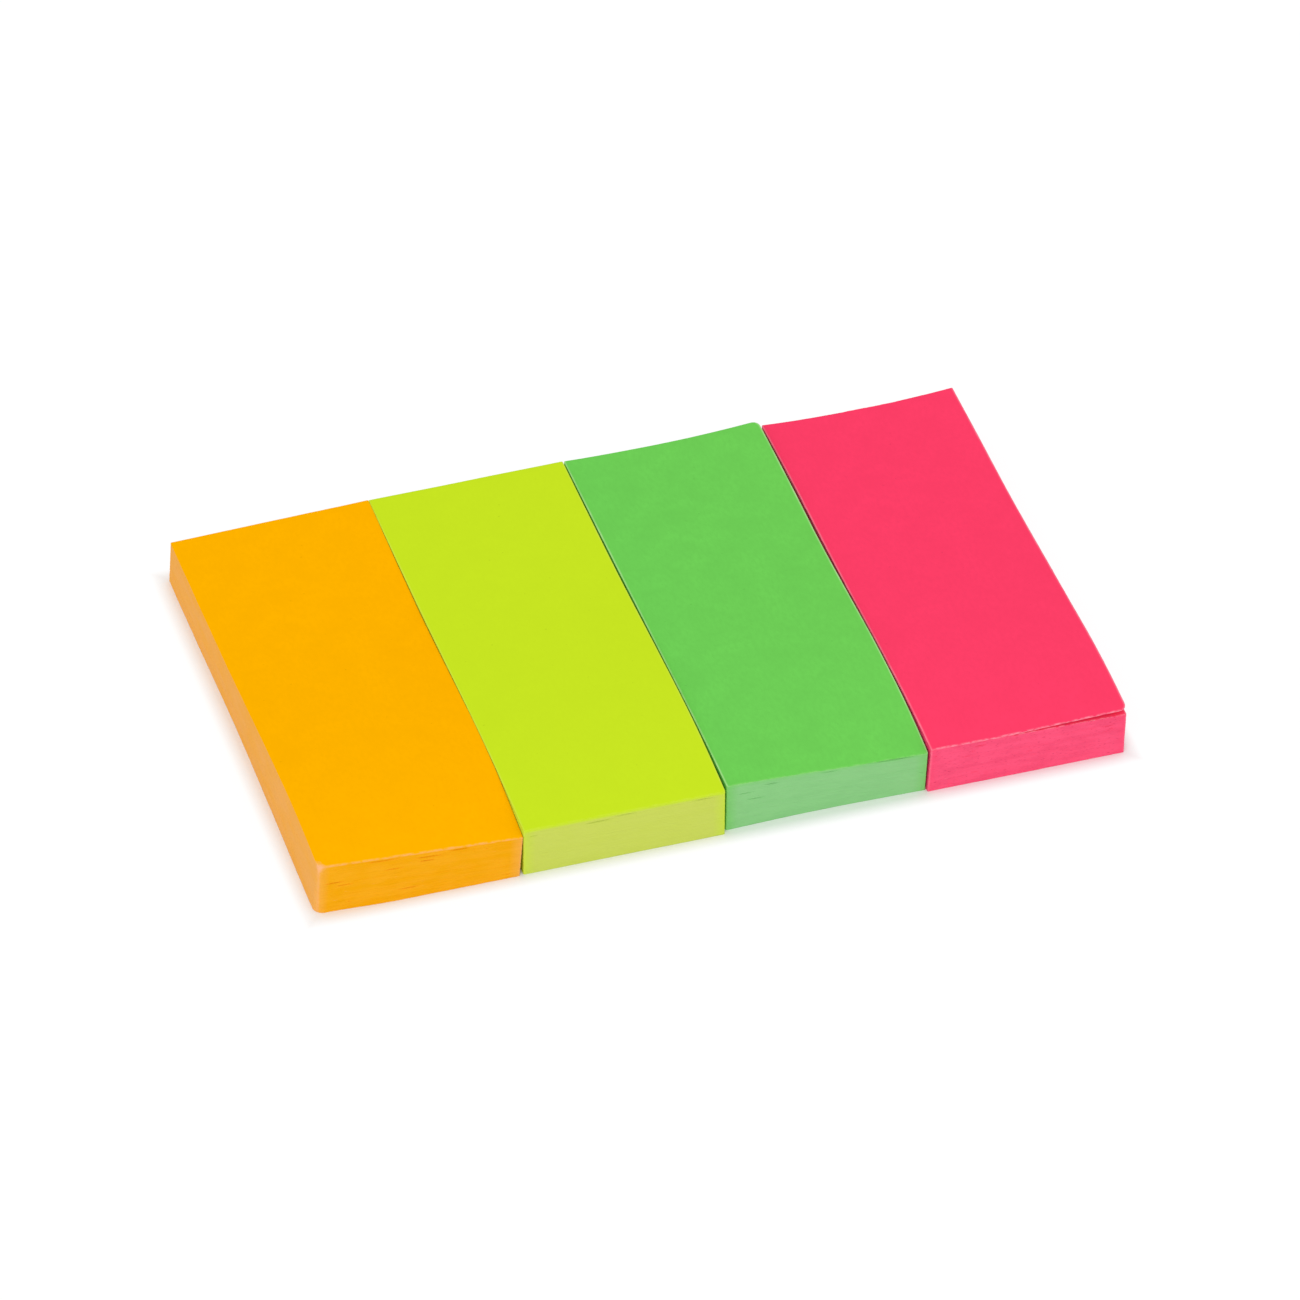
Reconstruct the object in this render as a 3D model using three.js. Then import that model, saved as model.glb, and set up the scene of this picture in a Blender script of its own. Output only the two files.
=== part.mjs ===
// Sticky index tabs: four pads of small coloured paper tabs, lying side by side in one row.
// A pad is a block of equal sheets, gummed one on another and cut square. Paper that lies
// loosely isn't flat: every pad swells over its gummed band, its corners stand at different
// heights, and its far end is a little dished. The top sheet of the pink pad has come up at
// its near right corner.
// Millimetres, with +Z up. X runs along the row, from the orange pad to the pink one, and Y
// along the tabs. The origin is on the table, under the middle of the row.

import * as THREE from "three";

// One tab, and the pad that it is cut with
const tabWidth = 20;
const tabLength = 50;
const sheetThickness = 0.105;
const sheetsPerPad = 50;

// The gap between two neighbours where they come closest
const gapOrangeLime = 0.03;
const gapLimeGreen = 0.08;
const gapGreenPink = 0.1;

// The swelling over the gum: its crest, measured from the near end, and its far slope
const crestFromNearEnd = 11.5;
const swellFarSlope = 24;

// The dished far end fades out over this length
const dishLength = 18;

// The loose top sheet: how high it lies over the block, how far its near right corner has
// come up, and how far the lift reaches along the near edge and back along the side
const looseSheets = 1;
const looseSheetGap = 0.02;
const cornerLift = 0.52;
const liftAlongNearEdge = 13;
const liftAlongSide = 18;

// Mesh steps across, along and up a block
const stepsAcross = 8;
const stepsAlong = 25;
const stepsUp = 1;

// The four pads in the order of the row. Each corner value is how much higher that corner
// stands than the plain height of the sheets. Turn is in degrees, seen from above, lean is
// how far the top stands to the right of the foot, and back is how far the pad lies back from
// the line in which the row starts.
const orange = {
  name: "orange_pad",
  colour: "#fdb202",
  roughness: 0.8,
  nearLeft: 0.9,
  nearRight: -0.42,
  farLeft: -0.47,
  farRight: 0.2,
  swellLeft: 0.7,
  swellRight: 1,
  dish: 0,
  turn: -0.22,
  lean: 0.16,
  back: 0,
};
const lime = {
  name: "lime_pad",
  colour: "#c8e321",
  roughness: 0.8,
  nearLeft: 0.35,
  nearRight: 0.25,
  farLeft: 0.1,
  farRight: 0.35,
  swellLeft: 0.4,
  swellRight: 0.65,
  dish: 0,
  turn: -0.14,
  lean: -0.1,
  back: 0,
};
const green = {
  name: "green_pad",
  colour: "#74cc59",
  roughness: 0.85,
  nearLeft: 0.38,
  nearRight: -0.42,
  farLeft: 0.1,
  farRight: 0.52,
  swellLeft: 0.1,
  swellRight: 1.25,
  dish: 0.35,
  turn: 0.02,
  lean: -0.12,
  back: 0.24,
};
const pink = {
  name: "pink_pad",
  colour: "#fe466e",
  roughness: 0.8,
  nearLeft: 0.05,
  nearRight: -0.22,
  farLeft: -0.12,
  farRight: 0.08,
  swellLeft: 0.75,
  swellRight: 0.72,
  dish: 0.42,
  turn: -0.14,
  lean: -0.03,
  back: 0.14,
};

// An even rise from 0 to 1 while the share goes from 0 to 1, level at both ends
function easedRise(share) {
  const held = Math.min(Math.max(share, 0), 1);
  return held * held * (3 - 2 * held);
}

// The swelling is 1 at the crest. It falls ever more steeply to 0 at the near end, where the
// knife pressed the sheets down, and gently to 0 at the foot of its far slope.
function swellShare(fromNearEnd) {
  const pastCrest = fromNearEnd - crestFromNearEnd;
  if (pastCrest < 0) {
    return Math.sin((Math.PI / 2) * (fromNearEnd / crestFromNearEnd));
  }
  return 1 - easedRise(pastCrest / swellFarSlope);
}

// How much higher a pad's top stands than its plain height, at a place on the tab
function unevenness(pad, fromLeft, fromNearEnd) {
  const across = fromLeft / tabWidth;
  const along = fromNearEnd / tabLength;
  const near = THREE.MathUtils.lerp(pad.nearLeft, pad.nearRight, across);
  const far = THREE.MathUtils.lerp(pad.farLeft, pad.farRight, across);
  const corners = THREE.MathUtils.lerp(near, far, along);
  const fromMiddle = 2 * across - 1;
  const dishShare = 1 - easedRise((tabLength - fromNearEnd) / dishLength);
  const dished = pad.dish * (1 - fromMiddle * fromMiddle) * dishShare;
  const swell = THREE.MathUtils.lerp(pad.swellLeft, pad.swellRight, across);
  return corners + swell * swellShare(fromNearEnd) - dished;
}

// How far the loose sheet has come away from the block, at a place on the tab
function liftOfSheet(fromLeft, fromNearEnd) {
  const alongEdge = 1 - (tabWidth - fromLeft) / liftAlongNearEdge;
  const alongSide = 1 - fromNearEnd / liftAlongSide;
  return cornerLift * Math.max(alongEdge, 0) * easedRise(alongSide);
}

// One side of a block of sheets: its height, as a function of the place on the tab, and how
// far the sheets there have slid to the right of the pad's foot
function blockSide(height, slide) {
  return { height, slide };
}

// A block of sheets between two such sides. Its origin is the middle of the pad's foot.
function sheetBlock(underside, topside) {
  const shape = new THREE.BoxGeometry(tabWidth, tabLength, 1, stepsAcross, stepsAlong, stepsUp);
  const points = shape.getAttribute("position");
  for (let i = 0; i < points.count; i += 1) {
    const fromLeft = points.getX(i) + tabWidth / 2;
    const fromNearEnd = points.getY(i) + tabLength / 2;
    const upShare = points.getZ(i) + 0.5;
    const low = underside.height(fromLeft, fromNearEnd);
    const high = topside.height(fromLeft, fromNearEnd);
    const slide = THREE.MathUtils.lerp(underside.slide, topside.slide, upShare);
    points.setX(i, points.getX(i) + slide);
    points.setZ(i, THREE.MathUtils.lerp(low, high, upShare));
  }
  shape.computeVertexNormals();
  return shape;
}

// The paper of one pad
function paper(pad) {
  return new THREE.MeshStandardMaterial({
    color: pad.colour,
    roughness: pad.roughness,
    metalness: 0,
  });
}

// A named piece of a pad
function paperPiece(name, pad, underside, topside) {
  const piece = new THREE.Mesh(sheetBlock(underside, topside), paper(pad));
  piece.name = name;
  return piece;
}

const foot = blockSide(() => 0, 0);

// A pad whose sheets all lie together, as one block on the table
function closedPad(pad) {
  const plainHeight = sheetsPerPad * sheetThickness;
  const top = blockSide((x, y) => plainHeight + unevenness(pad, x, y), pad.lean);
  return [paperPiece(pad.name, pad, foot, top)];
}

// A pad whose top sheet has come up: the block under it, and the sheet itself
function padWithLooseSheet(pad, sheetName) {
  const blockHeight = (sheetsPerPad - looseSheets) * sheetThickness;
  const blockTop = (x, y) => blockHeight + unevenness(pad, x, y);
  const sheetUnder = (x, y) => blockTop(x, y) + looseSheetGap + liftOfSheet(x, y);
  const sheetTop = (x, y) => sheetUnder(x, y) + looseSheets * sheetThickness;
  const top = blockSide(blockTop, pad.lean);
  const sheetBottom = blockSide(sheetUnder, pad.lean);
  const sheetFace = blockSide(sheetTop, pad.lean);
  return [
    paperPiece(pad.name, pad, foot, top),
    paperPiece(sheetName, pad, sheetBottom, sheetFace),
  ];
}

// How far apart the middles of two neighbours stand, so that the gap between them is kept
// where their turned sides and leaning tops come closest
function pitch(left, right, gap) {
  const leftTurn = THREE.MathUtils.degToRad(left.turn);
  const rightTurn = THREE.MathUtils.degToRad(right.turn);
  const halfWidths = (tabWidth / 2) * (1 / Math.cos(leftTurn) + 1 / Math.cos(rightTurn));
  const wedge = (tabLength / 2) * Math.abs(Math.tan(leftTurn) - Math.tan(rightTurn));
  const leaning = Math.max(left.lean - right.lean, 0);
  return halfWidths + wedge + leaning + gap;
}

const row = new THREE.Group();

function placePad(pad, pieces, middle) {
  const place = new THREE.Group();
  place.add(...pieces);
  place.rotation.z = THREE.MathUtils.degToRad(pad.turn);
  place.position.set(middle, pad.back, 0);
  row.add(place);
}

const orangeMiddle = 0;
const limeMiddle = orangeMiddle + pitch(orange, lime, gapOrangeLime);
const greenMiddle = limeMiddle + pitch(lime, green, gapLimeGreen);
const pinkMiddle = greenMiddle + pitch(green, pink, gapGreenPink);

placePad(orange, closedPad(orange), orangeMiddle);
placePad(lime, closedPad(lime), limeMiddle);
placePad(green, closedPad(green), greenMiddle);
placePad(pink, padWithLooseSheet(pink, "pink_top_sheet"), pinkMiddle);

// The row's own middle is the origin
const reach = new THREE.Box3().setFromObject(row, true);
const middle = reach.getCenter(new THREE.Vector3());
row.position.set(-middle.x, -middle.y, -reach.min.z);

export default row;
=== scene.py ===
# The paper of a row of sticky index tabs: four pads, each a stack of coloured tabs that were
# gummed one on another and cut square, and one top tab that has come up at a corner.
# Lengths named _mm are in millimetres, and all others are in metres.

import math

import bpy
import numpy as np
from mathutils import Matrix, Vector
from mathutils.bvhtree import BVHTree


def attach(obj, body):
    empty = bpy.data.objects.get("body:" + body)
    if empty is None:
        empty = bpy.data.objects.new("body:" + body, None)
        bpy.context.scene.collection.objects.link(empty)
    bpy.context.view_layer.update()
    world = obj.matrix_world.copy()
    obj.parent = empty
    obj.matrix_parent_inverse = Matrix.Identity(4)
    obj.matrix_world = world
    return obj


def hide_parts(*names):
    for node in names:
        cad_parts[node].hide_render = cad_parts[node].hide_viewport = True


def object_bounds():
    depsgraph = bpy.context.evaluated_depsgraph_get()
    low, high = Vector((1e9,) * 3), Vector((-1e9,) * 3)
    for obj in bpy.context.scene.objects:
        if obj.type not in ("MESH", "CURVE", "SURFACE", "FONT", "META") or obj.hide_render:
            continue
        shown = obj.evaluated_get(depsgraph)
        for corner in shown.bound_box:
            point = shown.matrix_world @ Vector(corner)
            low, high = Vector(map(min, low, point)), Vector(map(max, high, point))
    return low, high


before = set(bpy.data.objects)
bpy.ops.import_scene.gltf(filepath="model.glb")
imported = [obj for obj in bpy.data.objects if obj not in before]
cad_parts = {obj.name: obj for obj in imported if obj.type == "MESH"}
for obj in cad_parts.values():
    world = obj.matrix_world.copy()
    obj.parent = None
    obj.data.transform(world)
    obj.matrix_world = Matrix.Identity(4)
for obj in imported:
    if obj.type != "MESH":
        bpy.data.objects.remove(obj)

bl_info = {
    "name": "Sticky index tabs",
    "version": (1, 0, 0),
    "blender": (4, 5, 0),
    "location": "3D View > Sidebar > Index tabs",
    "description": "Cut paper for four pads of sticky index tabs, with their studio",
    "category": "Object",
}

CAD_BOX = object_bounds()
MM = 0.001

# The camera, found from the corners of the pads in the photograph
CAMERA_PLACE = (-0.23933, -0.67033, 0.62846)
CAMERA_AIM = (0.00141, 0.00192, 0.0)
CAMERA_ROLL = math.radians(2.137)
CAMERA_LENS_MM = 272.8
CAMERA_SENSOR_MM = 36.0
CAMERA_CLIP = (0.01, 20.0)

# The lamp, which shines at the middle of the row, and the floor under it
LAMP_PLACE = (-0.36, -0.62, 0.56)
FLOOR_SIDES = 96
FLOOR_DROP = 0.02 * MM
FLOOR_GLOW = 1.06
FLOOR_SHADOW_REACH = 1.5 * MM
WHITE = (1.0, 1.0, 1.0, 1.0)
BLACK = (0.0, 0.0, 0.0, 1.0)

# One tab, and the pad that it is cut with
TAB_WIDTH_MM = 20.0
TAB_LENGTH_MM = 50.0
SHEET_THICKNESS_MM = 0.105
SHEETS_IN_PAD = 50

# The four sides of a pad in the order in which its outline runs
NEAR, RIGHT, FAR, LEFT = range(4)
OUTWARD = np.array([(0.0, -1.0), (1.0, 0.0), (0.0, 1.0), (-1.0, 0.0)])

# The four upright corners, in the same order, and the radii at the foot and at the top of
# those that handling has blunted
NEAR_LEFT, NEAR_RIGHT, FAR_RIGHT, FAR_LEFT = range(4)
BLUNT_NEAR_LEFT = {"orange": (1.0 * MM, 0.35 * MM)}
BLUNT_FAR_RIGHT = {"green": (0.14 * MM, 0.8 * MM)}
BLUNT_TAB = (0.75 * MM, 0.75 * MM)

# How deep a slant in a cut reaches into the sheets, and how far back a pressed corner does
SLANT_REACH = 2.5 * MM
PRESS_REACH = 12.0 * MM

# How far the block's corner is pressed down under the lifted tab
LIFTED_CORNER_PRESS = 0.08 * MM

# Wavelengths in the cuts: one sheet's long and fine strays, what all sheets share, the
# joints' depth, and the waves that the sheets lie in, with their height
SHEET_WAVE = 4 * MM
FINE_WAVE = 0.7 * MM
FINE_SHARE = 0.6
SHARED_WAVE = 9 * MM
JOINT_WAVE = 2 * MM
LYING_WAVE = 6 * MM
LYING_HEIGHT = 0.02 * MM

# How many sheets share the opening of a gap, and how much of it its own lip takes
GAP_SHEETS = 6
GAP_LIP = 0.25

# Lips and notches in the cuts: their lengths, and how far they stand in or out
BURR_LENGTHS_MM = (0.3, 1.2)
BURR_DEPTHS_MM = (-0.09, 0.05)

# The top: the width of its pressed rim, the burrs at its near cut, and its cockle
RIM_WIDTH = 0.1 * MM
TOP_BURR_WAVE = 0.8 * MM
TOP_BURR_HEIGHT = 0.012 * MM
TOP_BURR_REACH = 0.16 * MM
COCKLES = 4
COCKLE_WAVE_ALONG = 11 * MM
COCKLE_WAVE_ACROSS = 7 * MM
COCKLE_HEIGHT = 0.006 * MM

# Between which sheets, counted from the table, a cut's upper band, its frayed lip and the
# crest of a long cut come in
BAND_SHEETS = (46.0, 49.0)
LIP_SHEETS = (48.6, 49.4)
CREST_SHEETS = (49.2, 49.9)

# Where a face's frayed rim begins to fade and where it ends, and the paper's finish
RIM_FADE_MM = (0.02, 0.2)
PAPER_ROUGHNESS = 0.9
PAPER_SPECULAR = 0.0
RELIEF_HEIGHT = 0.02 * MM

# Points across and along at which the frame's solids are measured, and how far in from the
# very edge a ray is sent, as a share of the side
FIELD_ACROSS = 9
FIELD_ALONG = 26
FIELD_INSET = 1e-4
UPRIGHT_EDGE_REACH = 1.0 * MM

# The mesh lines near an edge, as distances from it, and a length that counts as none
RIM_LINES_MM = (0.05, 0.12, 0.22, 0.38, 0.6)
NO_LENGTH = 1e-9


def linear(code):
    """A colour as light, from its six-figure screen code"""
    parts = [int(code[i:i + 2], 16) / 255 for i in (0, 2, 4)]
    return tuple(p / 12.92 if p <= 0.04045 else ((p + 0.055) / 1.055) ** 2.4 for p in parts)


def paper_colour(name, description, code):
    """A colour property that starts at a screen code"""
    return bpy.props.FloatVectorProperty(
        name=name, description=description, subtype="COLOR", min=0.0, max=1.0, default=linear(code)
    )


def fine_length(name, description, millimetres):
    """A length property that starts at a size in millimetres"""
    return bpy.props.FloatProperty(
        name=name, description=description, subtype="DISTANCE", unit="LENGTH",
        min=0.0, precision=6, default=millimetres * MM
    )


class TabPadSizes(bpy.types.PropertyGroup):
    """Sizes of the sheets and of what the knife left at their edges"""

    sheets: bpy.props.IntProperty(
        name="Sheets in a pad", description="How many tabs are gummed together",
        default=SHEETS_IN_PAD, min=2
    )
    step_across: fine_length("Step across", "Distance between mesh points along the short cuts", 0.2)
    step_along: fine_length("Step along", "Distance between mesh points along the long cuts", 0.4)
    groove: fine_length("Groove", "How far the joint between two sheets lies back", 0.009)
    sheet_slip: fine_length("Slip", "How far single sheets lie out of line", 0.005)
    edge_wander: fine_length("Wander", "How far a cut edge strays from a straight line", 0.005)
    rim_drop: fine_length("Rim drop", "How far the knife pressed the top edge down", 0.02)
    corner_radius: fine_length("Corner radius", "Rounding of the upright corners", 0.14)


class TabPadColours(bpy.types.PropertyGroup):
    """Colours of the tabs' faces and of their cut edges; the orange and lime long cuts hold painted sheen
    and painted edge light
    """

    orange_face: paper_colour("Orange face", "Upper side of the orange tabs", "fdb100")
    orange_cut: paper_colour("Orange cut", "End cuts of the orange pad", "f2aa1c")
    # Painted sheen: the orange long cut is paler and whiter than the end cut, standing in for grazing
    # light on the same cut paper.
    orange_long: paper_colour("Orange long cut", "Long cuts of the orange pad", "efae5c")
    orange_deep: paper_colour("Orange streaks", "Deeper streaks in the orange cuts", "eca400")
    orange_rim: paper_colour("Orange rim", "Frayed rims of the orange pad", "f8b784")
    lime_face: paper_colour("Lime face", "Upper side of the lime tabs", "c6e322")
    lime_cut: paper_colour("Lime cut", "End cuts of the lime pad", "c7d35e")
    # Painted light: the lime long cut is brightened towards the face colour, standing in for light on and
    # through the paper's edge against the shade in the gap beside the orange pad.
    lime_long: paper_colour("Lime long cut", "Long cuts of the lime pad", "c6e22e")
    lime_deep: paper_colour("Lime streaks", "Deeper streaks in the lime cuts", "bfce48")
    lime_rim: paper_colour("Lime rim", "Frayed rims of the lime pad", "d3e25a")
    green_face: paper_colour("Green face", "Upper side of the green tabs", "6ecd56")
    green_cut: paper_colour("Green cut", "End cuts of the green pad", "8dca86")
    green_long: paper_colour("Green long cut", "Long cuts of the green pad", "6cc852")
    green_deep: paper_colour("Green streaks", "Deeper streaks in the green cuts", "74b470")
    green_rim: paper_colour("Green rim", "Frayed rims of the green pad", "b6e29c")
    pink_face: paper_colour("Pink face", "Upper side of the pink tabs", "fe3f67")
    pink_cut: paper_colour("Pink cut", "End cuts of the pink pad", "fb587f")
    pink_long: paper_colour("Pink long cut", "Long cuts of the pink pad", "fa4a72")
    pink_deep: paper_colour("Pink streaks", "Deeper streaks in the pink cuts", "c92a52")
    pink_rim: paper_colour("Pink rim", "Frayed rims of the pink pad", "ffa0b2")


class TabStudio(bpy.types.PropertyGroup):
    """The floor, the lamp and the sky around the pads"""

    sky: bpy.props.FloatProperty(
        name="Sky", description="Strength of the even white light from all round", default=0.86
    )
    lamp_power: bpy.props.FloatProperty(
        name="Lamp", description="Power of the soft lamp", default=2.4, subtype="POWER", unit="POWER"
    )
    lamp_size: fine_length("Lamp size", "Width of the soft lamp", 600.0)
    floor_radius: fine_length("Floor radius", "How far the floor reaches", 2500.0)
    floor: paper_colour("Floor", "Colour of the pale floor", "f1f1f1")
    floor_calm: bpy.props.FloatProperty(
        name="Floor calm", description="How much of the floor's tints the camera doesn't see", default=0.84
    )


class Look:
    """How one pad's paper and its cut edges differ from the other pads'"""

    def __init__(self, colour, seed, ragged, burrs, gaps, slants=(), **paint):
        self.colour = colour
        self.seed = seed
        self.ragged = ragged
        self.burrs = burrs
        self.gaps = gaps
        self.slants = slants
        self.mottle = paint["mottle"]
        self.patches = paint["patches"]
        self.streaks = paint["streaks"]
        self.streak_density = paint["streak_density"]
        self.fraying = paint["fraying"]
        self.worn_corner = paint.get("worn_corner", 0.0)
        self.long_rim = paint.get("long_rim", 0.0)
        self.top_band = paint.get("top_band", 0.0)


# A gap is where two sheets stand apart at a cut: the side, where it starts along that side,
# its length, the sheet over it counted from the table, how deep it runs and how far it opens.
# A slant is where a cut isn't upright: the side, its start and length, and how far the foot
# and the top then stand out.
LOOKS = {
    "orange": Look(
        "orange", seed=11, ragged=1.5, burrs=26, mottle=0.022, patches=0.6, streaks=0.9,
        streak_density=0.6, fraying=0.6, worn_corner=1.1,
        slants=[
            (LEFT, 2.0, 46.0, -0.2, 0.0),
            (NEAR, -6.0, 14.0, -0.3, 0.0),
            (RIGHT, -50.0, 100.0, 0.0, 0.065),
        ],
        gaps=[
            (NEAR, 0.4, 2.6, 31, 0.20, 0.03),
            (NEAR, 1.6, 2.2, 27, 0.14, 0.02),
            (NEAR, 4.0, 4.6, 47, 0.16, 0.03),
            (NEAR, 6.2, 2.4, 36, 0.14, 0.02),
            (NEAR, 9.2, 3.4, 44, 0.20, 0.03),
            (NEAR, 9.6, 2.2, 40, 0.22, 0.03),
            (NEAR, 12.6, 2.4, 47, 0.18, 0.03),
            (NEAR, 7.6, 2.8, 12, 0.16, 0.02),
        ],
    ),
    "lime": Look(
        "lime", seed=23, ragged=0.7, burrs=8, mottle=0.01, patches=0.15, streaks=0.2,
        streak_density=0.5, fraying=0.3, long_rim=0.5, top_band=0.9,
        slants=[(RIGHT, 8.0, 84.0, 0.0, -0.12), (RIGHT, -50.0, 150.0, 0.0, -0.06)],
        gaps=[
            (NEAR, 5.6, 3.6, 44, 0.18, 0.03),
            (NEAR, 8.4, 3.4, 46, 0.14, 0.03),
            (NEAR, 16.2, 3.2, 46, 0.14, 0.02),
            (NEAR, 0.4, 1.2, 42, 0.12, 0.02),
        ],
    ),
    "green": Look(
        "green", seed=37, ragged=0.8, burrs=10, mottle=0.035, patches=0.15, streaks=0.25,
        streak_density=0.5, fraying=0.3, long_rim=1.0, top_band=0.3,
        slants=[
            (NEAR, -12.0, 44.0, -0.42, -0.12),
            (NEAR, -10.0, 24.0, 0.0, -0.18),
            (RIGHT, -12.0, 24.0, 0.05, 0.17),
            (RIGHT, 20.0, 36.0, 0.0, 0.1),
            (LEFT, -42.0, 84.0, 0.0, 0.03),
            (LEFT, 15.0, 50.0, 0.0, -0.06),
        ],
        gaps=[
            (NEAR, 13.6, 6.3, 49, 0.22, 0.05),
            (NEAR, 0.8, 2.4, 38, 0.14, 0.02),
            (NEAR, 3.6, 2.0, 44, 0.16, 0.02),
            (NEAR, 1.6, 2.6, 30, 0.12, 0.02),
            (NEAR, 9.0, 2.6, 47, 0.12, 0.02),
        ],
    ),
    "pink": Look(
        "pink", seed=53, ragged=1.2, burrs=130, mottle=0.03, patches=0.2, streaks=1.0,
        streak_density=2.1, fraying=0.8, long_rim=0.6,
        slants=[
            (LEFT, 38.0, 24.0, -0.05, -0.17),
            (LEFT, -6.0, 36.0, 0.0, -0.16),
            (LEFT, -50.0, 150.0, 0.0, -0.05),
        ],
        gaps=[
            (NEAR, 4.4, 1.6, 44, 0.16, 0.02),
            (NEAR, 17.4, 1.6, 38, 0.14, 0.02),
            (NEAR, 17.8, 1.4, 34, 0.12, 0.02),
        ],
    ),
}


def eased(share):
    """An even rise from 0 to 1, level at both ends"""
    held = np.clip(share, 0.0, 1.0)
    return held * held * (3 - 2 * held)


def bump(share):
    """A smooth swell over shares from 0 to 1, and nothing outside them"""
    return eased(2 * share) * eased(2 - 2 * share)


def wander(random, rows, places, whole, spacing, strength):
    """Smooth random curves, one a row, along a closed line of the length whole"""
    knots = max(int(round(whole / spacing)), 4)
    values = random.normal(0.0, strength, (rows, knots))
    where = np.asarray(places) / whole * knots
    first = np.floor(where).astype(int)
    share = eased(where - first)
    return values[:, first % knots] * (1 - share) + values[:, (first + 1) % knots] * share


def cubic_weights(count, shares):
    """How much each of count evenly spaced values gives to a smooth curve at the shares"""
    weights = np.zeros((len(shares), count))
    for row, share in enumerate(shares):
        place = share * (count - 1)
        first = min(int(place), count - 2)
        f = place - first
        parts = (
            (-f + 2 * f**2 - f**3) / 2,
            (2 - 5 * f**2 + 3 * f**3) / 2,
            (f + 4 * f**2 - 3 * f**3) / 2,
            (-f**2 + f**3) / 2,
        )
        for offset, part in zip((-1, 0, 1, 2), parts):
            k = first + offset
            if k < 0:
                weights[row, 0] += 2 * part
                weights[row, 1] -= part
            elif k >= count:
                weights[row, count - 1] += 2 * part
                weights[row, count - 2] -= part
            else:
                weights[row, k] += part
    return weights


class Solid:
    """A pad or sheet of the frame: the ends of its upright edges, and its two curved sides"""

    def __init__(self, node):
        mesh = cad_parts[node].data
        points = np.array([v.co for v in mesh.vertices])
        self.low, self.high = self.upright_edges(points)
        faces = [tuple(p.vertices) for p in mesh.polygons]
        tree = BVHTree.FromPolygons([v.co for v in mesh.vertices], faces)
        self.underside = self.heights(tree, self.low, -1.0)
        self.top = self.heights(tree, self.high, 1.0)
        self.width = float(np.linalg.norm(self.low[1] - self.low[0]))
        self.length = float(np.linalg.norm(self.low[3] - self.low[0]))

    @staticmethod
    def upright_edges(points):
        """The lowest and highest point of each upright edge, round from the near left one"""
        low, high = [], []
        for right, far in ((-1, -1), (1, -1), (1, 1), (-1, 1)):
            reach = right * points[:, 0] + far * points[:, 1]
            edge = points[reach > reach.max() - UPRIGHT_EDGE_REACH]
            low.append(edge[edge[:, 2].argmin()])
            high.append(edge[edge[:, 2].argmax()])
        return np.array(low), np.array(high)

    @staticmethod
    def heights(tree, corners, side):
        """Heights at evenly spaced places, seen from above (side 1) or below (side -1)"""
        field = np.zeros((FIELD_ALONG, FIELD_ACROSS))
        for row, along in enumerate(np.linspace(FIELD_INSET, 1 - FIELD_INSET, FIELD_ALONG)):
            for column, across in enumerate(np.linspace(FIELD_INSET, 1 - FIELD_INSET, FIELD_ACROSS)):
                x, y = plan(corners, across, along)
                hit = tree.ray_cast(Vector((x, y, side)), Vector((0.0, 0.0, -side)))[0]
                if hit is None:
                    raise RuntimeError("a ray missed the solid that it should measure")
                field[row, column] = hit.z
        return field


def plan(corners, across, along):
    """The place in plan at these shares of a four-cornered outline"""
    across = np.asarray(across)[..., None]
    along = np.asarray(along)[..., None]
    near = corners[0, :2] * (1 - across) + corners[1, :2] * across
    far = corners[3, :2] * (1 - across) + corners[2, :2] * across
    return near * (1 - along) + far * along


def mesh_lines(length, step):
    """Distances of the mesh lines from one end of a side, closer together at both ends"""
    rim = [line * MM for line in RIM_LINES_MM]
    count = int(round((length - 2 * rim[-1]) / step))
    inside = list(np.linspace(rim[-1], length - rim[-1], count + 1))
    return np.array([0.0] + rim[:-1] + inside + [length - line for line in reversed(rim[:-1])] + [length])


class Outline:
    """The closed line of mesh points round a pad, from its near left corner"""

    def __init__(self, across, along):
        last_across, last_along = len(across) - 1, len(along) - 1
        near = [(i, 0, NEAR) for i in range(last_across)]
        right = [(last_across, j, RIGHT) for j in range(last_along)]
        far = [(i, last_along, FAR) for i in range(last_across, 0, -1)]
        left = [(0, j, LEFT) for j in range(last_along, 0, -1)]
        steps = near + right + far + left
        self.column = np.array([s[0] for s in steps])
        self.row = np.array([s[1] for s in steps])
        self.side = np.array([s[2] for s in steps])
        self.x = across[self.column]
        self.y = along[self.row]
        width, length = across[-1], along[-1]
        self.whole = 2 * (width + length)
        self.place = np.choose(self.side, [
            self.x,
            width + self.y,
            2 * width + length - self.x,
            self.whole - self.y,
        ])
        self.side_start = np.array([0.0, width, width + length, 2 * width + length])
        self.side_length = np.array([width, length, width, length])
        from_start = self.place - self.side_start[self.side]
        self.outward = OUTWARD[self.side]
        at_corner = from_start == 0
        self.outward[at_corner] += OUTWARD[(self.side[at_corner] - 1) % 4]

    def window(self, side, start, length):
        """A swell along a stretch of one side"""
        share = (self.place - self.side_start[side] - start) / length
        return bump(share) * (self.side == side)


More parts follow.
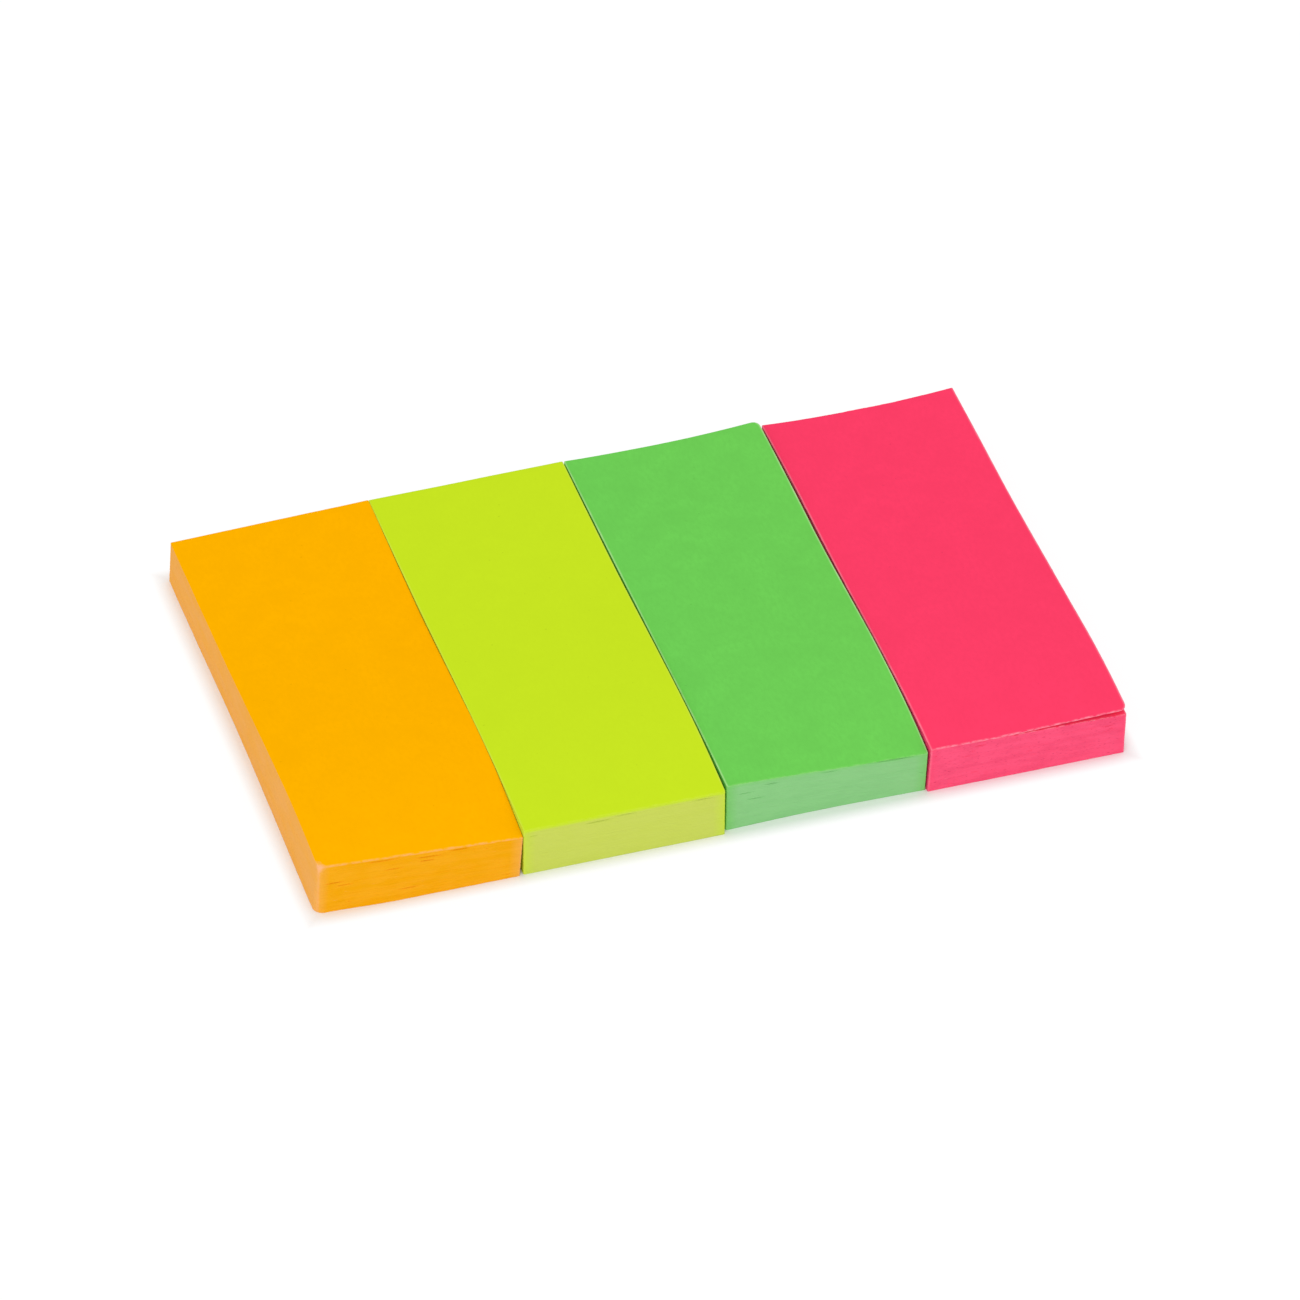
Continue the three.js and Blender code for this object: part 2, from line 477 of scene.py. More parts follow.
class Trim:
    """The map from a plain block's plan to the real one: blunt corners and slanting cuts"""

    def __init__(self, solid, corner_radii, slants):
        self.width, self.length = solid.width, solid.length
        self.corner_radii = corner_radii
        self.slants = slants

    def moved(self, x, y, level):
        """Where points so far from the left and from the near end come to lie at a level"""
        shift_x, shift_y = self.slanted(x, y, level)
        x, y = self.rounded(x, y, level)
        return x + shift_x, y + shift_y

    def rounded(self, x, y, level):
        """Presses the square end of each corner into an arc"""
        corner_sides = ((False, False), (True, False), (True, True), (False, True))
        for (right, far), (foot, top) in zip(corner_sides, self.corner_radii):
            radius = foot * (1 - level) + top * level
            from_side = self.width - x if right else x
            from_end = self.length - y if far else y
            side, end = radius - from_side, radius - from_end
            in_corner = (side > 0) & (end > 0)
            reach = np.maximum(np.maximum(side, end), NO_LENGTH)
            turn = math.pi / 4 * np.minimum(side, end) / reach
            more, less = reach * np.cos(turn), reach * np.sin(turn)
            from_side = np.where(in_corner, radius - np.where(side > end, more, less), from_side)
            from_end = np.where(in_corner, radius - np.where(side > end, less, more), from_end)
            x = self.width - from_side if right else from_side
            y = self.length - from_end if far else from_end
        return x, y

    def slanted(self, x, y, level):
        """How far the cuts that don't stand upright move the points near them"""
        shift_x, shift_y = 0.0, 0.0
        for side, start, length, foot, top in self.slants:
            along, depth = (
                (x, y), (y, self.width - x), (self.width - x, self.length - y), (self.length - y, x)
            )[side]
            window = bump((along - start * MM) / (length * MM)) * (1 - eased(depth / SLANT_REACH))
            shift = (foot * (1 - level) + top * level) * MM * window
            shift_x = shift_x + OUTWARD[side][0] * shift
            shift_y = shift_y + OUTWARD[side][1] * shift
        return shift_x, shift_y


class CutEdges:
    """How far every point of a stack's cut sides lies out of the plain block"""

    def __init__(self, outline, sheets, look, sizes):
        random = np.random.default_rng(look.seed)
        self.outline = outline
        self.sheets = sheets
        self.out = np.zeros((2 * sheets + 1, len(outline.x)))
        self.up = np.zeros_like(self.out)
        self.cut_sheets(random, look, sizes)
        self.open_gaps(look)
        self.raise_burrs(random, look)
        self.up[0] = 0.0

    def cut_sheets(self, random, look, sizes):
        """Each sheet strays a little by itself, and the joints lie back between the sheets"""
        line, whole = self.outline.place, self.outline.whole
        strength = sizes.edge_wander * look.ragged
        crests = wander(random, self.sheets, line, whole, SHEET_WAVE, strength)
        crests += wander(random, self.sheets, line, whole, FINE_WAVE, strength * FINE_SHARE)
        slips = random.normal(0.0, sizes.sheet_slip, (self.sheets, 2))
        crests += slips @ self.outline.outward.T
        shared = wander(random, 1, line, whole, SHARED_WAVE, strength)
        crests += shared
        self.out[1::2] = crests
        joints = np.minimum(crests[:-1], crests[1:])
        uneven = wander(random, self.sheets - 1, line, whole, JOINT_WAVE, 1.0)
        depth = sizes.groove * (1 + 0.5 * uneven)
        self.out[2:-1:2] = joints - np.abs(depth)
        self.out[0] = crests[0]
        self.out[-1] = crests[-1]
        levels = np.linspace(0.0, 1.0, 2 * self.sheets + 1)[:, None]
        waves = wander(random, 1, line, whole, LYING_WAVE, LYING_HEIGHT)
        self.up += waves * 4 * levels * (1 - levels)

    def open_gaps(self, look):
        """Two sheets stand apart over a stretch of a side, and the rest lie closer"""
        for side, start, length, sheet, depth, opening in look.gaps:
            if sheet >= self.sheets:
                continue
            window = self.outline.window(side, start * MM, length * MM)
            joint = 2 * sheet
            self.out[joint] -= depth * MM * window
            self.out[joint + 1] += GAP_LIP * opening * MM * window
            for away in range(1, GAP_SHEETS):
                ease = (1 - away / GAP_SHEETS) * opening * MM * window
                if joint + away < len(self.up):
                    self.up[joint + away] += ease
                self.up[joint - away] -= ease

    def raise_burrs(self, random, look):
        """Short lips of paper that the knife turned outward, and notches that it tore"""
        for _ in range(look.burrs):
            side = int(random.integers(0, 4))
            reach = self.outline.side_length[side]
            length = random.uniform(*BURR_LENGTHS_MM) * MM
            window = self.outline.window(side, random.uniform(0.0, reach - length), length)
            row = int(random.integers(1, 2 * self.sheets))
            self.out[row] += random.uniform(*BURR_DEPTHS_MM) * MM * window


def top_relief(random, across, along, look, sizes):
    """What lies over or under the plain top: pressed rims, small burrs and a faint cockle"""
    width, length = across[-1], along[-1]
    from_side = np.minimum(across, width - across)[None, :]
    from_end = np.minimum(along, length - along)[:, None]
    pressed = np.exp(-from_side / RIM_WIDTH) + np.exp(-from_end / RIM_WIDTH)
    relief = -sizes.rim_drop * np.minimum(pressed, 1.0)
    burr_height = TOP_BURR_HEIGHT * look.ragged
    near_burrs = wander(random, 1, across, 2 * width, TOP_BURR_WAVE, burr_height)
    relief += near_burrs * np.exp(-along[:, None] / TOP_BURR_REACH)
    cockle_along = wander(random, COCKLES, along, 2 * length, COCKLE_WAVE_ALONG, COCKLE_HEIGHT)
    cockle_across = wander(random, COCKLES, across, 2 * width, COCKLE_WAVE_ACROSS, 1.0)
    relief += cockle_along.T @ cockle_across
    return relief


class Stack:
    """One stack of sheets as a mesh: its cut sides sheet by sheet, its top and its foot"""

    def __init__(self, node, look, sizes, sheets, corner_radii, corner_press=0.0):
        self.solid = Solid(node)
        self.sheets = sheets
        self.first_sheet = sizes.sheets - 1 if sheets == 1 else 0
        self.rows = 2 * sheets
        self.across = mesh_lines(self.solid.width, sizes.step_across)
        self.along = mesh_lines(self.solid.length, sizes.step_along)
        self.outline = Outline(self.across, self.along)
        self.edges = CutEdges(self.outline, sheets, look, sizes)
        self.trim = Trim(self.solid, corner_radii, look.slants)
        self.find_heights(corner_press)
        self.points, self.places, self.faces = [], [], []
        self.rings = self.add_cut_sides()
        random = np.random.default_rng(look.seed + 1)
        self.add_top(top_relief(random, self.across, self.along, look, sizes))
        self.cut_faces = len(self.faces)
        self.add_sheet_faces(self.top_numbers)
        if sheets > 1:
            self.faces.append(self.rings[0][::-1].tolist())
        else:
            self.add_underside()

    def find_heights(self, corner_press):
        """The plain heights of the top and the underside at the mesh lines"""
        over_x = cubic_weights(FIELD_ACROSS, self.across / self.solid.width)
        over_y = cubic_weights(FIELD_ALONG, self.along / self.solid.length)
        self.underside = over_y @ self.solid.underside @ over_x.T
        self.top = over_y @ self.solid.top @ over_x.T
        from_corner = np.hypot(self.solid.width - self.across, self.along[:, None])
        self.top -= corner_press * (1 - eased(from_corner / PRESS_REACH))

    def in_plan(self, corners, x, y, level):
        """Where points of the plain block lie in plan, once the cuts are trimmed"""
        x, y = self.trim.moved(x, y, level if self.sheets > 1 else 1.0)
        return plan(corners, x / self.solid.width, y / self.solid.length)

    def outward(self):
        """The direction in plan that leads out of the stack, at each point of the outline"""
        low = self.solid.low
        rightward = (low[1] - low[0])[:2] / self.solid.width
        farward = (low[3] - low[0])[:2] / self.solid.length
        return self.outline.outward @ np.array([rightward, farward])

    def add_points(self, points, x, y, sheet):
        """Adds points with their places on the tab, and returns their numbers"""
        first = len(self.points)
        self.points += points.reshape(-1, 3).tolist()
        shape = points.shape[:-1]
        parts = (x / MM, y / MM, self.first_sheet + sheet)
        places = np.stack([np.broadcast_to(part, shape) for part in parts], axis=-1)
        self.places += places.reshape(-1, 3).tolist()
        return first + np.arange(points[..., 0].size).reshape(shape)

    def add_cut_sides(self):
        """The rings of points from the foot up to just under the top, two to a sheet"""
        line = self.outline
        level = np.arange(self.rows)[:, None] / self.rows
        low = self.in_plan(self.solid.low, line.x[None, :], line.y[None, :], level)
        high = self.in_plan(self.solid.high, line.x[None, :], line.y[None, :], level)
        rings = np.zeros((self.rows, len(line.x), 3))
        rings[..., :2] = low * (1 - level[..., None]) + high * level[..., None]
        rings[..., :2] += self.outward() * self.edges.out[:self.rows, :, None]
        foot_height = self.underside[line.row, line.column]
        top_height = self.top[line.row, line.column]
        rings[..., 2] = foot_height * (1 - level) + top_height * level + self.edges.up[:self.rows]
        return self.add_points(rings, line.x, line.y, np.arange(self.rows)[:, None] / 2)

    def add_top(self, relief):
        """The points of the top, and the faces that join them to the rings"""
        line = self.outline
        x, y = np.meshgrid(self.across, self.along)
        top = np.dstack([self.in_plan(self.solid.high, x, y, 1.0), self.top + relief])
        top[line.row, line.column, :2] += self.outward() * self.edges.out[-1][:, None]
        self.top_numbers = self.add_points(top, x, y, float(self.sheets))
        levels = np.concatenate([self.rings, self.top_numbers[line.row, line.column][None]])
        ahead = np.roll(levels, -1, axis=1)
        self.add_faces(levels[:-1], ahead[:-1], ahead[1:], levels[1:])

    def add_underside(self):
        """The underside of a single sheet, which shares the lowest ring"""
        x, y = np.meshgrid(self.across, self.along)
        under = np.dstack([self.in_plan(self.solid.low, x, y, 1.0), self.underside])
        numbers = np.zeros(x.shape, dtype=int)
        inner = (slice(1, -1), slice(1, -1))
        numbers[inner] = self.add_points(under[inner], x[inner], y[inner], 0.0)
        numbers[self.outline.row, self.outline.column] = self.rings[0]
        self.add_sheet_faces(numbers[:, ::-1])

    def add_sheet_faces(self, numbers):
        """The faces of one side of a sheet"""
        self.add_faces(numbers[:-1, :-1], numbers[:-1, 1:], numbers[1:, 1:], numbers[1:, :-1])

    def add_faces(self, *corners):
        """Four-cornered faces from four equal grids of point numbers"""
        self.faces += np.stack(corners, axis=-1).reshape(-1, 4).tolist()

    def piece(self, name):
        """The finished piece: slot 0 for its faces, slot 1 for its cuts"""
        mesh = bpy.data.meshes.new(name)
        mesh.from_pydata(self.points, [], self.faces)
        place = mesh.attributes.new("tab_place", "FLOAT_VECTOR", "POINT")
        place.data.foreach_set("vector", np.ravel(self.places))
        slots = np.zeros(len(mesh.polygons), dtype=np.int32)
        slots[:self.cut_faces] = 1
        mesh.polygons.foreach_set("material_index", slots)
        mesh.polygons.foreach_set("use_smooth", slots == 0)
        mesh.update()
        piece = bpy.data.objects.new(name, mesh)
        bpy.context.scene.collection.objects.link(piece)
        return piece


def join(tree, source, socket):
    """Joins a source to a socket, or sets the socket where the source is a plain value"""
    if isinstance(source, bpy.types.NodeSocket):
        tree.links.new(source, socket)
    else:
        socket.default_value = source


def sum_of(tree, operation, first, second=0.0):
    """One sum of two values in a node tree"""
    node = tree.nodes.new("ShaderNodeMath")
    node.operation = operation
    join(tree, first, node.inputs[0])
    join(tree, second, node.inputs[1])
    return node.outputs[0]


class Paint:
    """The node tree of a paper, with short calls for the nodes that it needs"""

    def __init__(self, name):
        self.material = bpy.data.materials.new(name)
        self.material.use_nodes = True
        self.tree = self.material.node_tree
        self.tree.nodes.clear()
        output = self.tree.nodes.new("ShaderNodeOutputMaterial")
        self.shader = self.tree.nodes.new("ShaderNodeBsdfPrincipled")
        self.shader.inputs["Roughness"].default_value = PAPER_ROUGHNESS
        self.shader.inputs["Specular IOR Level"].default_value = PAPER_SPECULAR
        self.tree.links.new(self.shader.outputs[0], output.inputs["Surface"])
        place = self.tree.nodes.new("ShaderNodeAttribute")
        place.attribute_name = "tab_place"
        self.place = place.outputs["Vector"]

    def link(self, source, socket):
        """Joins a source or a plain value to a socket of this paper"""
        join(self.tree, source, socket)

    def stretched(self, scale):
        """The place on the tab, with each direction scaled by its own amount"""
        node = self.tree.nodes.new("ShaderNodeMapping")
        self.link(self.place, node.inputs["Vector"])
        node.inputs["Scale"].default_value = scale
        return node.outputs["Vector"]

    def noise(self, scale, detail=2.0, roughness=0.5):
        """Noise over the place on the tab, from 0 to 1"""
        node = self.tree.nodes.new("ShaderNodeTexNoise")
        self.link(self.stretched(scale), node.inputs["Vector"])
        node.inputs["Scale"].default_value = 1.0
        node.inputs["Detail"].default_value = detail
        node.inputs["Roughness"].default_value = roughness
        return node.outputs["Fac"]

    def spread(self, value, low, high, to_low=0.0, to_high=1.0):
        """A value held between two ends and spread over another range"""
        node = self.tree.nodes.new("ShaderNodeMapRange")
        self.link(value, node.inputs["Value"])
        amounts = {"From Min": low, "From Max": high, "To Min": to_low, "To Max": to_high}
        for socket, amount in amounts.items():
            node.inputs[socket].default_value = amount
        return node.outputs["Result"]

    def maths(self, operation, first, second=0.0):
        """One sum of two values"""
        return sum_of(self.tree, operation, first, second)

    def from_nearer(self, distance, whole):
        """The distance from the nearer of two ends that lie a whole length apart"""
        return self.maths("MINIMUM", distance, self.maths("SUBTRACT", whole, distance))

    def parts(self):
        """The distance from the left, the distance from the near end and the sheet's number"""
        node = self.tree.nodes.new("ShaderNodeSeparateXYZ")
        self.link(self.place, node.inputs[0])
        return node.outputs[0], node.outputs[1], node.outputs[2]

    def near_left_corner(self, reach):
        """1 at the near left corner of the top sheet, falling to 0 at the reach in millimetres"""
        if not reach:
            return 0.0
        from_left, from_near, sheet = self.parts()
        sheets_above = self.maths("SUBTRACT", float(SHEETS_IN_PAD), sheet)
        below = self.maths("MULTIPLY", sheets_above, SHEET_THICKNESS_MM)
        away = self.maths("ADD", self.maths("ADD", from_left, from_near), below)
        ragged = self.spread(self.noise((1.6, 1.6, 0.4), 4.0, 0.7), 0.3, 0.7, 0.5, 1.3)
        return self.spread(self.maths("DIVIDE", away, ragged), 0.3 * reach, reach, 0.9, 0.0)

    def mix(self, share, first, second):
        """Two colours mixed"""
        node = self.tree.nodes.new("ShaderNodeMix")
        node.data_type = "RGBA"
        self.link(share, node.inputs["Factor"])
        self.link(first, node.inputs["A"])
        self.link(second, node.inputs["B"])
        return node.outputs["Result"]

    def relief(self, height, strength, distance):
        """A height as a bump in the surface"""
        node = self.tree.nodes.new("ShaderNodeBump")
        node.inputs["Strength"].default_value = strength
        node.inputs["Distance"].default_value = distance
        self.link(height, node.inputs["Height"])
        self.link(node.outputs["Normal"], self.shader.inputs["Normal"])

    def finish(self, colour):
        """Gives the shader its colour and hands the material over"""
        self.link(colour, self.shader.inputs["Base Color"])
        return self.material


def shade(colour, factor):
    """A colour made lighter or darker, with full alpha"""
    return tuple(min(part * factor, 1.0) for part in colour) + (1.0,)


def tone(look, colours, kind):
    """One of a pad's colours"""
    return tuple(getattr(colours, look.colour + "_" + kind))


def face_paper(look, colours):
    """The tabs' upper side: even dyed paper with a faint cloud, fibres and a frayed rim"""
    face = tone(look, colours, "face")
    rim = tone(look, colours, "rim")
    paint = Paint(look.colour + "_face")
    cloud = paint.spread(paint.noise((0.35, 0.35, 1.0), 3.0), 0.3, 0.7)
    colour = paint.mix(cloud, shade(face, 1 - look.mottle), shade(face, 1 + look.mottle))
    fibres = paint.spread(paint.noise((2.4, 1.2, 1.0), 4.0, 0.65), 0.4, 0.8)
    colour = paint.mix(fibres, colour, shade(face, 1 - 2.0 * look.mottle))
    specks = paint.spread(paint.noise((1.9, 1.9, 7.0), 1.0), 0.76, 0.84)
    colour = paint.mix(specks, colour, shade(face, 0.84))
    from_left, from_near, _ = paint.parts()
    frayed = paint.spread(paint.noise((1.1, 1.1, 1.0), 3.0, 0.6), 0.4, 0.62, 0.0, look.fraying)
    near_rim = paint.maths("MULTIPLY", paint.spread(from_near, *RIM_FADE_MM, 1.0, 0.0), frayed)
    from_side = paint.from_nearer(from_left, TAB_WIDTH_MM)
    breaks = paint.spread(paint.noise((0.4, 0.25, 1.0), 3.0, 0.6), 0.35, 0.6, 0.4, 1.0)
    long_rim = paint.spread(from_side, *RIM_FADE_MM, look.long_rim, 0.0)
    worn = paint.maths("MAXIMUM", near_rim, paint.maths("MULTIPLY", long_rim, breaks))
    worn = paint.maths("MAXIMUM", worn, paint.near_left_corner(look.worn_corner))
    colour = paint.mix(worn, colour, shade(rim, 1.0))
    paint.relief(paint.noise((7.0, 7.0, 1.0), 5.0, 0.7), 0.25, RELIEF_HEIGHT)
    return paint.finish(colour)


def cut_paper(look, colours):
    """The cut sides: paler than the face, streaked along the sheets, frayed at the rims, with painted
    sheen on the orange pad's long cuts and painted edge light on the lime pad's
    """
    face = tone(look, colours, "face")
    cut = tone(look, colours, "cut")
    # The long colour is a painted sheen for the orange pad and painted edge light for the lime pad.
    long_cut = tone(look, colours, "long")
    deep = tone(look, colours, "deep")
    rim = tone(look, colours, "rim")
    paint = Paint(look.colour + "_cut")
    from_left, from_near, sheet = paint.parts()
    patches = paint.spread(paint.noise((0.3, 0.3, 0.12), 3.0, 0.55), 0.4, 0.62, 0.0, look.patches)
    end = paint.mix(patches, shade(cut, 1.0), shade(deep, 1.0))
    density = look.streak_density
    lines = paint.noise((density, density, 1.3), 4.0, 0.6)
    streaks = paint.spread(lines, 0.58, 0.72, 0.0, look.streaks)
    end = paint.mix(streaks, end, shade(deep, 0.92))
    threads = paint.spread(paint.noise((0.8, 0.8, 1.1), 4.0, 0.7), 0.64, 0.8, 0.0, look.fraying)
    end = paint.mix(threads, end, shade(rim, 1.0))
    clouds = paint.spread(paint.noise((0.2, 0.2, 0.1), 3.0), 0.35, 0.7, 0.0, 0.35)
    # The long cuts take the long colour, with its painted sheen or edge light.
    side = paint.mix(clouds, shade(long_cut, 1.0), shade(cut, 1.0))
    from_end = paint.from_nearer(from_near, TAB_LENGTH_MM)
    on_side = paint.spread(from_end, 0.0, 0.12)
    from_side = paint.from_nearer(from_left, TAB_WIDTH_MM)
    # Near the upright corners the end cut turns to the long colour, and so to its painted sheen or edge
    # light.
    end = paint.mix(paint.spread(from_side, 0.1, 1.2, 0.45, 0.0), end, shade(long_cut, 1.0))
    band = paint.spread(sheet, *BAND_SHEETS, 0.0, look.top_band)
    end = paint.mix(band, end, shade(face, 1.0))
    torn = paint.spread(paint.noise((1.1, 1.1, 0.2), 3.0, 0.6), 0.36, 0.58, 0.0, look.fraying)
    lip = paint.maths("MULTIPLY", paint.spread(sheet, *LIP_SHEETS), torn)
    end = paint.mix(lip, end, shade(rim, 1.0))
    crest = paint.spread(sheet, *CREST_SHEETS, 0.0, 0.5 * look.long_rim)
    side = paint.mix(crest, side, shade(rim, 1.0))
    colour = paint.mix(on_side, end, side)
    corner = paint.maths("ADD", from_side, from_end)
    worn = paint.spread(paint.noise((0.5, 0.5, 0.3), 3.0, 0.6), 0.25, 0.6, 0.2, 1.0)
    pale = paint.maths("MULTIPLY", paint.spread(corner, 0.0, 0.25, 0.7, 0.0), worn)
    # The upright edges mix the rim with the long colour, so they carry part of its painted sheen or edge
    # light.
    edge = tuple((part + other) / 2 for part, other in zip(rim, long_cut))
    colour = paint.mix(pale, colour, shade(edge, 1.0))
    colour = paint.mix(paint.near_left_corner(look.worn_corner), colour, shade(rim, 1.0))
    paint.relief(paint.noise((3.0, 3.0, 1.2), 4.0, 0.7), 0.3, RELIEF_HEIGHT)
    return paint.finish(colour)


def dress(piece, node, look, colours):
    """Gives a stack its two papers, hides the frame's part that it stands for, and hangs it on the root
    body
    """
    piece.data.materials.append(face_paper(look, colours))
    piece.data.materials.append(cut_paper(look, colours))
    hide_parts(node)
    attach(piece, "root")


def plain_corners(sizes):
    """The foot and top radius of each upright corner, round from the near left one"""
    return [(sizes.corner_radius, sizes.corner_radius)] * 4


class TABS_OT_pads(bpy.types.Operator):
    """Builds the pads whose sheets all lie together"""

    bl_idname = "tabs.pads"
    bl_label = "Closed pads"

    def execute(self, context):
        sizes = context.scene.tab_sizes
        colours = context.scene.tab_colours
        for colour in ("orange", "lime", "green"):
            corners = plain_corners(sizes)
            corners[NEAR_LEFT] = BLUNT_NEAR_LEFT.get(colour, corners[NEAR_LEFT])
            corners[FAR_RIGHT] = BLUNT_FAR_RIGHT.get(colour, corners[FAR_RIGHT])
            node = colour + "_pad"
            look = LOOKS[colour]
            pad = Stack(node, look, sizes, sizes.sheets, corners)
            dress(pad.piece(colour + "_tabs"), node, look, colours)
        return {"FINISHED"}


class TABS_OT_lifted_pad(bpy.types.Operator):
    """Builds the pad whose top tab has come up, and that tab"""

    bl_idname = "tabs.lifted_pad"
    bl_label = "Pad with a lifted tab"

    def execute(self, context):
        sizes = context.scene.tab_sizes
        colours = context.scene.tab_colours
        corners = plain_corners(sizes)
        look = LOOKS["pink"]
        block = Stack("pink_pad", look, sizes, sizes.sheets - 1, corners, LIFTED_CORNER_PRESS)
        dress(block.piece("pink_tabs"), "pink_pad", look, colours)
        corners[NEAR_RIGHT] = BLUNT_TAB
        tab = Stack("pink_top_sheet", look, sizes, 1, corners)
        dress(tab.piece("pink_lifted_tab"), "pink_top_sheet", look, colours)
        return {"FINISHED"}


def seen_directly(tree):
    """1 for what the camera, a reflection or a clear body sees, and 0 for what lights others"""
    rays = tree.nodes.new("ShaderNodeLightPath")
    seen = rays.outputs["Is Camera Ray"]
    for other in ("Is Glossy Ray", "Is Transmission Ray"):
        seen = sum_of(tree, "MAXIMUM", seen, rays.outputs[other])
    return seen


def white_sky(studio):
    """An even white sky, which the camera sees as plain white"""
    world = bpy.data.worlds.new("white_sky")
    world.use_nodes = True
    tree = world.node_tree
    tree.nodes.clear()
    output = tree.nodes.new("ShaderNodeOutputWorld")
    light = tree.nodes.new("ShaderNodeBackground")
    light.inputs["Strength"].default_value = studio.sky
    light.inputs["Color"].default_value = WHITE
    backdrop = tree.nodes.new("ShaderNodeBackground")
    backdrop.inputs["Color"].default_value = WHITE
    backdrop.inputs["Strength"].default_value = 1.0
    choice = tree.nodes.new("ShaderNodeMixShader")
    tree.links.new(seen_directly(tree), choice.inputs[0])
    tree.links.new(light.outputs[0], choice.inputs[1])
    tree.links.new(backdrop.outputs[0], choice.inputs[2])
    tree.links.new(choice.outputs[0], output.inputs["Surface"])
    bpy.context.scene.world = world


def floor_paper(studio):
    """A white floor that the camera sees with weaker tints and shadows, except under the pads"""
    material = bpy.data.materials.new("pale_floor")
    material.use_nodes = True
    tree = material.node_tree
    shader = tree.nodes["Principled BSDF"]
    shader.inputs["Roughness"].default_value = 1.0
    shader.inputs["Specular IOR Level"].default_value = 0.0
    shader.inputs["Emission Color"].default_value = WHITE
    coordinates = tree.nodes.new("ShaderNodeTexCoord")
    parts = tree.nodes.new("ShaderNodeSeparateXYZ")
    tree.links.new(coordinates.outputs["Object"], parts.inputs[0])
    low, high = CAD_BOX
    from_middle_x = sum_of(tree, "ABSOLUTE", parts.outputs[0])
    from_middle_y = sum_of(tree, "ABSOLUTE", parts.outputs[1])
    beyond_x = sum_of(tree, "SUBTRACT", from_middle_x, (high.x - low.x) / 2)
    beyond_y = sum_of(tree, "SUBTRACT", from_middle_y, (high.y - low.y) / 2)
    beyond = sum_of(tree, "MAXIMUM", beyond_x, beyond_y)
    share = sum_of(tree, "DIVIDE", beyond, FLOOR_SHADOW_REACH)
    outside = sum_of(tree, "MINIMUM", sum_of(tree, "MAXIMUM", share, 0.0), 1.0)
    seen = sum_of(tree, "MULTIPLY", seen_directly(tree), outside)
    calm = sum_of(tree, "MULTIPLY", seen, studio.floor_calm)
    glow = sum_of(tree, "MULTIPLY", calm, FLOOR_GLOW)
    tree.links.new(glow, shader.inputs["Emission Strength"])
    tint = tree.nodes.new("ShaderNodeMix")
    tint.data_type = "RGBA"
    tint.inputs["A"].default_value = shade(studio.floor, 1.0)
    tint.inputs["B"].default_value = BLACK
    tree.links.new(calm, tint.inputs["Factor"])
    tree.links.new(tint.outputs["Result"], shader.inputs["Base Color"])
    return material


def pale_floor(studio):
    """A wide round floor just under the pads, which keeps their shadow"""
    radius = studio.floor_radius
    angles = [2 * math.pi * k / FLOOR_SIDES for k in range(FLOOR_SIDES)]
    rim = [(radius * math.cos(a), radius * math.sin(a), -FLOOR_DROP) for a in angles]
    mesh = bpy.data.meshes.new("floor")
    mesh.from_pydata(rim, [], [list(range(FLOOR_SIDES))])
    floor = bpy.data.objects.new("floor", mesh)
    bpy.context.scene.collection.objects.link(floor)
    mesh.materials.append(floor_paper(studio))


def soft_lamp(studio):
    """One wide lamp above and in front, a little to the left"""
    light = bpy.data.lights.new("soft_lamp", "AREA")
    light.shape = "SQUARE"
    light.size = studio.lamp_size
    light.energy = studio.lamp_power
    lamp = bpy.data.objects.new("soft_lamp", light)
    lamp.location = LAMP_PLACE
    lamp.rotation_euler = (-Vector(lamp.location)).to_track_quat("-Z", "Y").to_euler()
    bpy.context.scene.collection.objects.link(lamp)


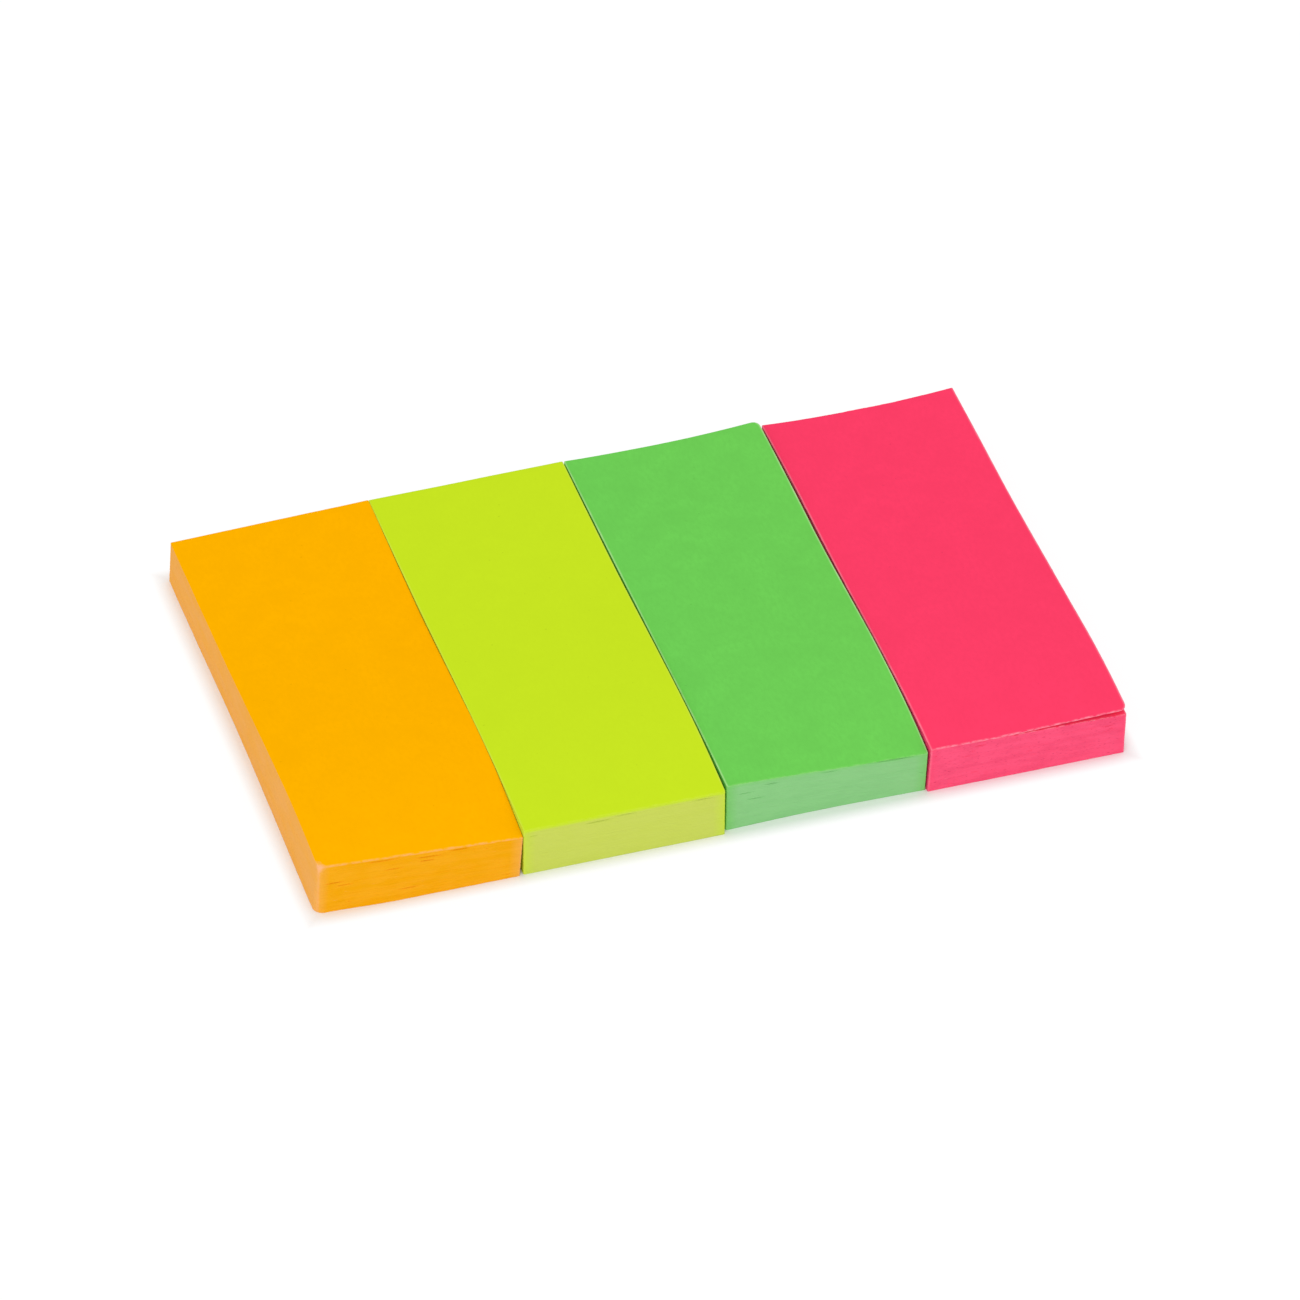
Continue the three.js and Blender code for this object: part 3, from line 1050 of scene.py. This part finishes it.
def photograph_camera():
    """The camera at the photograph's place, angle and framing"""
    data = bpy.data.cameras.new("camera")
    data.sensor_width = CAMERA_SENSOR_MM
    data.sensor_fit = "HORIZONTAL"
    data.lens = CAMERA_LENS_MM
    data.clip_start, data.clip_end = CAMERA_CLIP
    camera = bpy.data.objects.new("camera", data)
    place = Vector(CAMERA_PLACE)
    turn = (Vector(CAMERA_AIM) - place).to_track_quat("-Z", "Y").to_matrix().to_4x4()
    roll = Matrix.Rotation(CAMERA_ROLL, 4, "Z")
    camera.matrix_world = Matrix.Translation(place) @ turn @ roll
    bpy.context.scene.collection.objects.link(camera)
    bpy.context.scene.camera = camera


class TABS_OT_stage(bpy.types.Operator):
    """Builds the floor, the sky, the lamp and the camera"""

    bl_idname = "tabs.stage"
    bl_label = "Studio"

    def execute(self, context):
        studio = context.scene.tab_studio
        white_sky(studio)
        pale_floor(studio)
        soft_lamp(studio)
        photograph_camera()
        context.scene.view_settings.view_transform = "Standard"
        return {"FINISHED"}


class TABS_PT_panel(bpy.types.Panel):
    """The sidebar panel that lists the sizes, the colours and the steps"""

    bl_idname = "TABS_PT_panel"
    bl_label = "Index tabs"
    bl_space_type = "VIEW_3D"
    bl_region_type = "UI"
    bl_category = "Index tabs"

    def draw(self, context):
        for group in (context.scene.tab_sizes, context.scene.tab_colours, context.scene.tab_studio):
            box = self.layout.box()
            for name in group.__annotations__:
                box.prop(group, name)
        for step in STEPS:
            self.layout.operator(step.bl_idname)


GROUPS = (
    ("tab_sizes", TabPadSizes),
    ("tab_colours", TabPadColours),
    ("tab_studio", TabStudio),
)
STEPS = (TABS_OT_stage, TABS_OT_pads, TABS_OT_lifted_pad)


def register():
    """Registers the classes and hangs their settings on the scene"""
    for name, group in GROUPS:
        bpy.utils.register_class(group)
        setattr(bpy.types.Scene, name, bpy.props.PointerProperty(type=group))
    for step in STEPS:
        bpy.utils.register_class(step)
    bpy.utils.register_class(TABS_PT_panel)


def unregister():
    """Takes away what register added"""
    bpy.utils.unregister_class(TABS_PT_panel)
    for step in reversed(STEPS):
        bpy.utils.unregister_class(step)
    for name, group in reversed(GROUPS):
        delattr(bpy.types.Scene, name)
        bpy.utils.unregister_class(group)


def main():
    """Builds the pads and their studio"""
    register()
    bpy.ops.tabs.stage()
    bpy.ops.tabs.pads()
    bpy.ops.tabs.lifted_pad()


if __name__ == "__main__":
    main()
